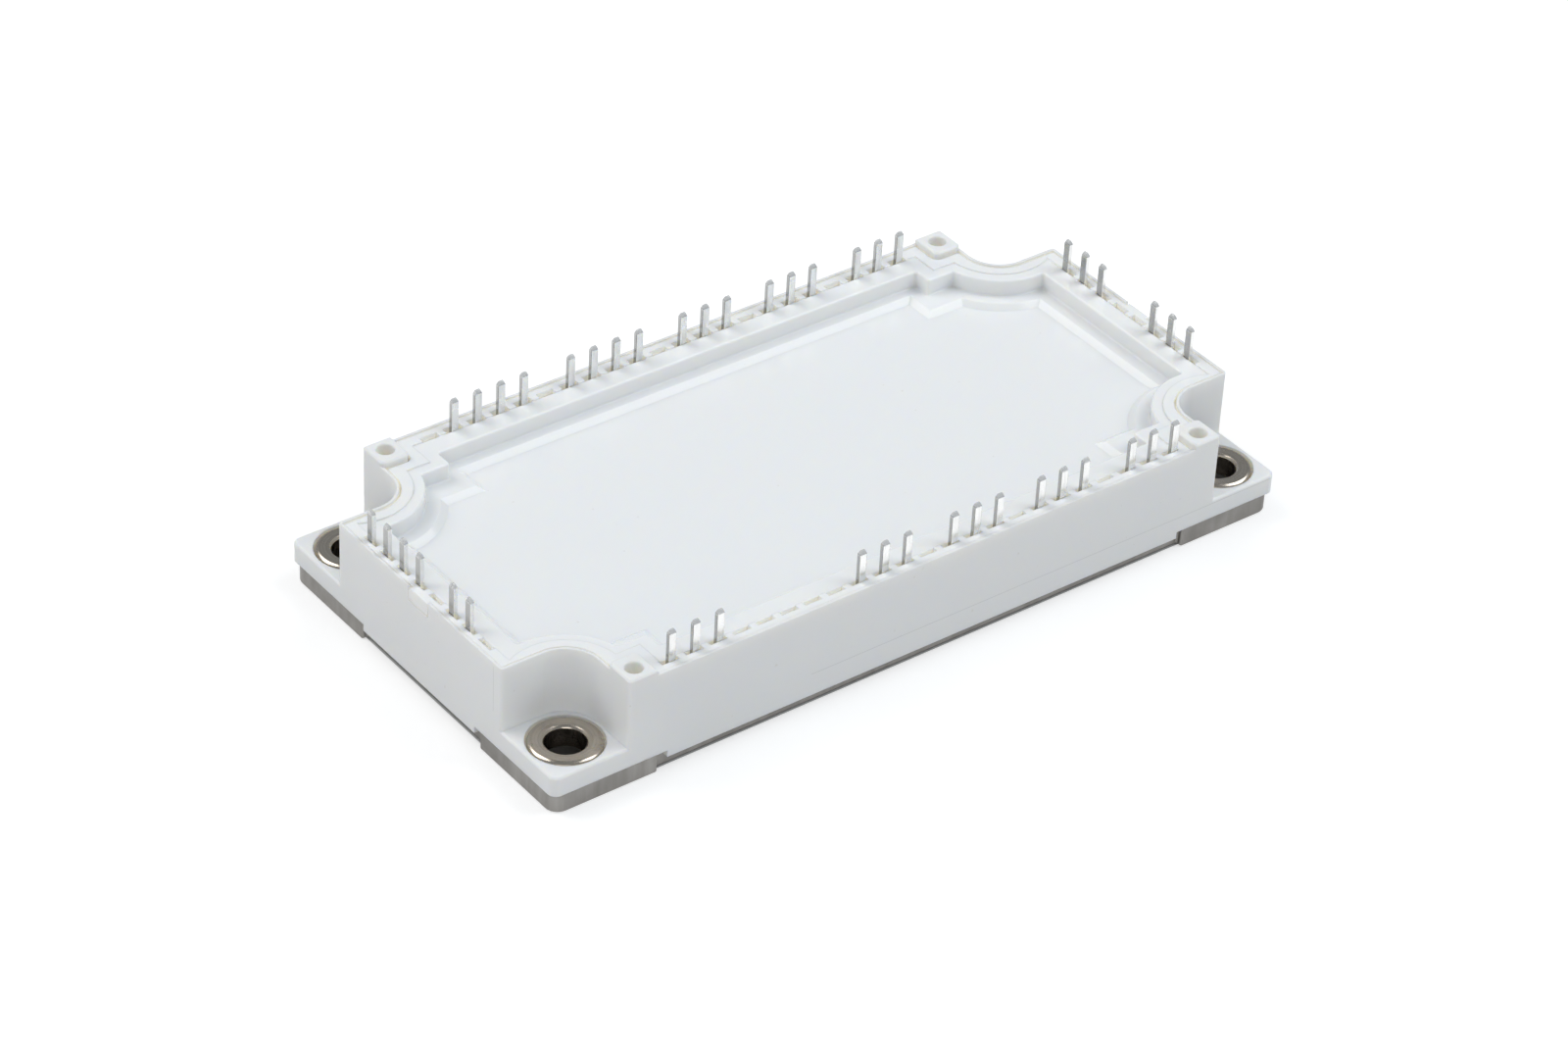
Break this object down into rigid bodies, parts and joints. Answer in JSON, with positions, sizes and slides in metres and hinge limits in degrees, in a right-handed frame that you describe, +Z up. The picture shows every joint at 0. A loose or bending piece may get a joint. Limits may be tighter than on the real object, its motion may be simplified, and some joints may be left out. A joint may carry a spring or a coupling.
{
  "type": "igbt transistor module",
  "caption": "Flat power transistor module with a metal base plate, white plastic frame, solder pins round its rim, a dished lid and screw holes at the corners.",
  "frame": {"origin": "middle of the base plate's underside", "axes": "+X along the module's long side, +Y along its short side, +Z up out of the base plate, the way the pins point"},
  "size_m": [0.122, 0.062, 0.0209],
  "materials": {
    "nickel_plate": "nickel-plated copper, satin",
    "frame_plastic": "moulded, slightly glossy",
    "lid_plastic": "moulded, slightly glossy",
    "sleeve_metal": "turned and nickel plated",
    "pin_tin": "tin plated, bright",
    "ceramic_copper": "fired, matt, copper clad",
    "silicon": "metallised, satin",
    "sensor_black": "matt",
    "wire_aluminium": "drawn",
    "clear_gel": "soft, clear",
    "adhesive_grey": "cured silicone adhesive, matt"
  },
  "bodies": {
    "root": {"adhesive_seal": "adhesive_grey", "base_plate": "nickel_plate", "bond_wires": "wire_aluminium", "diode_chips": "silicon", "fixing_sleeve_front_left": "sleeve_metal", "fixing_sleeve_front_right": "sleeve_metal", "fixing_sleeve_rear_left": "sleeve_metal", "fixing_sleeve_rear_right": "sleeve_metal", "housing": "frame_plastic", "igbt_chips": "silicon", "lid": "lid_plastic", "pin_front_01": "pin_tin", "pin_front_02": "pin_tin", "pin_front_03": "pin_tin", "pin_front_04": "pin_tin", "pin_front_05": "pin_tin", "pin_front_06": "pin_tin", "pin_front_07": "pin_tin", "pin_front_08": "pin_tin", "pin_front_09": "pin_tin", "pin_front_10": "pin_tin", "pin_front_11": "pin_tin", "pin_front_12": "pin_tin", "pin_front_13": "pin_tin", "pin_front_14": "pin_tin", "pin_front_15": "pin_tin", "pin_left_01": "pin_tin", "pin_left_02": "pin_tin", "pin_left_03": "pin_tin", "pin_left_04": "pin_tin", "pin_left_05": "pin_tin", "pin_left_06": "pin_tin", "pin_rear_01": "pin_tin", "pin_rear_02": "pin_tin", "pin_rear_03": "pin_tin", "pin_rear_04": "pin_tin", "pin_rear_05": "pin_tin", "pin_rear_06": "pin_tin", "pin_rear_07": "pin_tin", "pin_rear_08": "pin_tin", "pin_rear_09": "pin_tin", "pin_rear_10": "pin_tin", "pin_rear_11": "pin_tin", "pin_rear_12": "pin_tin", "pin_rear_13": "pin_tin", "pin_rear_14": "pin_tin", "pin_rear_15": "pin_tin", "pin_rear_16": "pin_tin", "pin_rear_17": "pin_tin", "pin_right_01": "pin_tin", "pin_right_02": "pin_tin", "pin_right_03": "pin_tin", "pin_right_04": "pin_tin", "pin_right_05": "pin_tin", "pin_right_06": "pin_tin", "silicone_gel": "clear_gel", "substrate_left": "ceramic_copper", "substrate_middle": "ceramic_copper", "substrate_right": "ceramic_copper", "thermistor": "sensor_black"}
  },
  "joints": []
}
